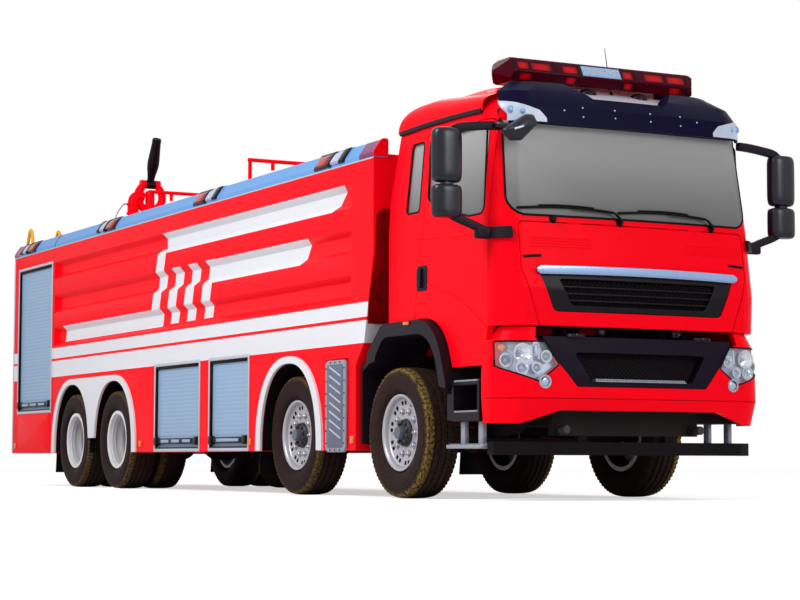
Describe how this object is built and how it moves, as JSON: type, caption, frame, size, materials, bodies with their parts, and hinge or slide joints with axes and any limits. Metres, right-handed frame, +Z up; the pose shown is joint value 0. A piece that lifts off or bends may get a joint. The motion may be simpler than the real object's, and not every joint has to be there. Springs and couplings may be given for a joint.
{
  "type": "foam fire truck",
  "caption": "Long foam tanker fire truck with a forward-control cab, ribbed tank body with roller shutters, roof monitor, opening doors and steered front wheels.",
  "frame": {"origin": "on the ground at the middle of the vehicle's length and width", "axes": "+X forward, +Y to the vehicle's left, +Z up"},
  "size_m": [11.88, 3.1948, 4.137],
  "materials": {
    "red_paint": "gloss",
    "chassis_steel": "satin",
    "black_paint": "satin",
    "black_plastic": "matt grain",
    "aluminium": "anodised",
    "silver_wheel": "satin",
    "tyre": "dusty rubber",
    "window_glass": "tinted",
    "lamp_glass": "clear",
    "red_lens": "clear red",
    "yellow_paint": "gloss",
    "cab_trim": "dark cloth"
  },
  "bodies": {
    "chassis": {"frame": "chassis_steel", "front_axles": "chassis_steel", "rear_axles": "chassis_steel", "engine": "chassis_steel", "cab_floor": "red_paint", "cab_back": "red_paint", "cab_sides": "red_paint", "cab_front": "red_paint", "cab_roof": "red_paint", "cab_glass": "window_glass", "cab_interior": "cab_trim", "sun_visor": "black_plastic", "light_bar": "red_lens", "mirrors": "black_plastic", "wipers": "black_plastic", "bumper": "red_paint", "lower_grille": "black_plastic", "front_lamps": "lamp_glass", "underrun_bars": "black_paint", "fenders": "black_plastic", "cab_steps": "black_plastic", "tank_body": "red_paint", "body_sides": "red_paint", "roof_edges": "aluminium", "shutters": "aluminium", "vent_panels": "aluminium", "body_lamps": "red_lens", "roof_rails": "red_paint", "ladder": "yellow_paint", "monitor_base": "red_paint"},
    "wheel_1l": {"tyre_1l": "tyre", "rim_1l": "silver_wheel"},
    "wheel_1r": {"tyre_1r": "tyre", "rim_1r": "silver_wheel"},
    "wheel_2l": {"tyre_2l": "tyre", "rim_2l": "silver_wheel"},
    "wheel_2r": {"tyre_2r": "tyre", "rim_2r": "silver_wheel"},
    "wheel_3l": {"tyres_3l": "tyre", "rims_3l": "silver_wheel"},
    "wheel_3r": {"tyres_3r": "tyre", "rims_3r": "silver_wheel"},
    "wheel_4l": {"tyres_4l": "tyre", "rims_4l": "silver_wheel"},
    "wheel_4r": {"tyres_4r": "tyre", "rims_4r": "silver_wheel"},
    "knuckle_1l": {"knuckle_1l": "chassis_steel"},
    "knuckle_1r": {"knuckle_1r": "chassis_steel"},
    "knuckle_2l": {"knuckle_2l": "chassis_steel"},
    "knuckle_2r": {"knuckle_2r": "chassis_steel"},
    "door_left": {"door_left": "red_paint", "door_glass_left": "window_glass"},
    "door_right": {"door_right": "red_paint", "door_glass_right": "window_glass"},
    "front_flap": {"front_flap": "red_paint", "grille": "black_plastic"},
    "monitor_turret": {"monitor_turret": "red_paint"},
    "monitor_barrel": {"monitor_barrel": "black_paint"}
  },
  "joints": [
    {"name": "steer_1l", "type": "hinge", "parent": "chassis", "child": "knuckle_1l", "pos_m": [4.23, 1.02, 0.518], "axis": [0, 0, 1], "range_deg": [-35, 35]},
    {"name": "steer_1r", "type": "hinge", "parent": "chassis", "child": "knuckle_1r", "pos_m": [4.23, -1.02, 0.518], "axis": [0, 0, 1], "range_deg": [-35, 35]},
    {"name": "steer_2l", "type": "hinge", "parent": "chassis", "child": "knuckle_2l", "pos_m": [2.28, 1.02, 0.518], "axis": [0, 0, 1], "range_deg": [-26, 26]},
    {"name": "steer_2r", "type": "hinge", "parent": "chassis", "child": "knuckle_2r", "pos_m": [2.28, -1.02, 0.518], "axis": [0, 0, 1], "range_deg": [-26, 26]},
    {"name": "spin_1l", "type": "hinge", "parent": "knuckle_1l", "child": "wheel_1l", "pos_m": [4.23, 1.04, 0.518], "axis": [0, 1, 0], "continuous": true},
    {"name": "spin_1r", "type": "hinge", "parent": "knuckle_1r", "child": "wheel_1r", "pos_m": [4.23, -1.04, 0.518], "axis": [0, 1, 0], "continuous": true},
    {"name": "spin_2l", "type": "hinge", "parent": "knuckle_2l", "child": "wheel_2l", "pos_m": [2.28, 1.04, 0.518], "axis": [0, 1, 0], "continuous": true},
    {"name": "spin_2r", "type": "hinge", "parent": "knuckle_2r", "child": "wheel_2r", "pos_m": [2.28, -1.04, 0.518], "axis": [0, 1, 0], "continuous": true},
    {"name": "spin_3l", "type": "hinge", "parent": "chassis", "child": "wheel_3l", "pos_m": [-2.19, 0.9155, 0.518], "axis": [0, 1, 0], "continuous": true},
    {"name": "spin_3r", "type": "hinge", "parent": "chassis", "child": "wheel_3r", "pos_m": [-2.19, -0.9155, 0.518], "axis": [0, 1, 0], "continuous": true},
    {"name": "spin_4l", "type": "hinge", "parent": "chassis", "child": "wheel_4l", "pos_m": [-3.55, 0.9155, 0.518], "axis": [0, 1, 0], "continuous": true},
    {"name": "spin_4r", "type": "hinge", "parent": "chassis", "child": "wheel_4r", "pos_m": [-3.55, -0.9155, 0.518], "axis": [0, 1, 0], "continuous": true},
    {"name": "door_left_hinge", "type": "hinge", "parent": "chassis", "child": "door_left", "pos_m": [5.625, 1.16, 1.9], "axis": [0, 0, -1], "range_deg": [0, 70]},
    {"name": "door_right_hinge", "type": "hinge", "parent": "chassis", "child": "door_right", "pos_m": [5.625, -1.16, 1.9], "axis": [0, 0, 1], "range_deg": [0, 70]},
    {"name": "front_flap_hinge", "type": "hinge", "parent": "chassis", "child": "front_flap", "pos_m": [5.85081, 0, 2.05], "axis": [0, -1, 0], "range_deg": [0, 75]},
    {"name": "monitor_turn", "type": "hinge", "parent": "chassis", "child": "monitor_turret", "pos_m": [-4.524, 0, 3.29], "axis": [0, 0, 1], "continuous": true},
    {"name": "monitor_lift", "type": "hinge", "parent": "monitor_turret", "child": "monitor_barrel", "pos_m": [-4.524, 0, 3.59], "axis": [0, -1, 0], "range_deg": [-75, 20]}
  ],
  "couplings": [
    {"joint": "steer_1r", "follows": "steer_1l", "ratio": 1},
    {"joint": "steer_2l", "follows": "steer_1l", "ratio": 0.74},
    {"joint": "steer_2r", "follows": "steer_1l", "ratio": 0.74}
  ]
}
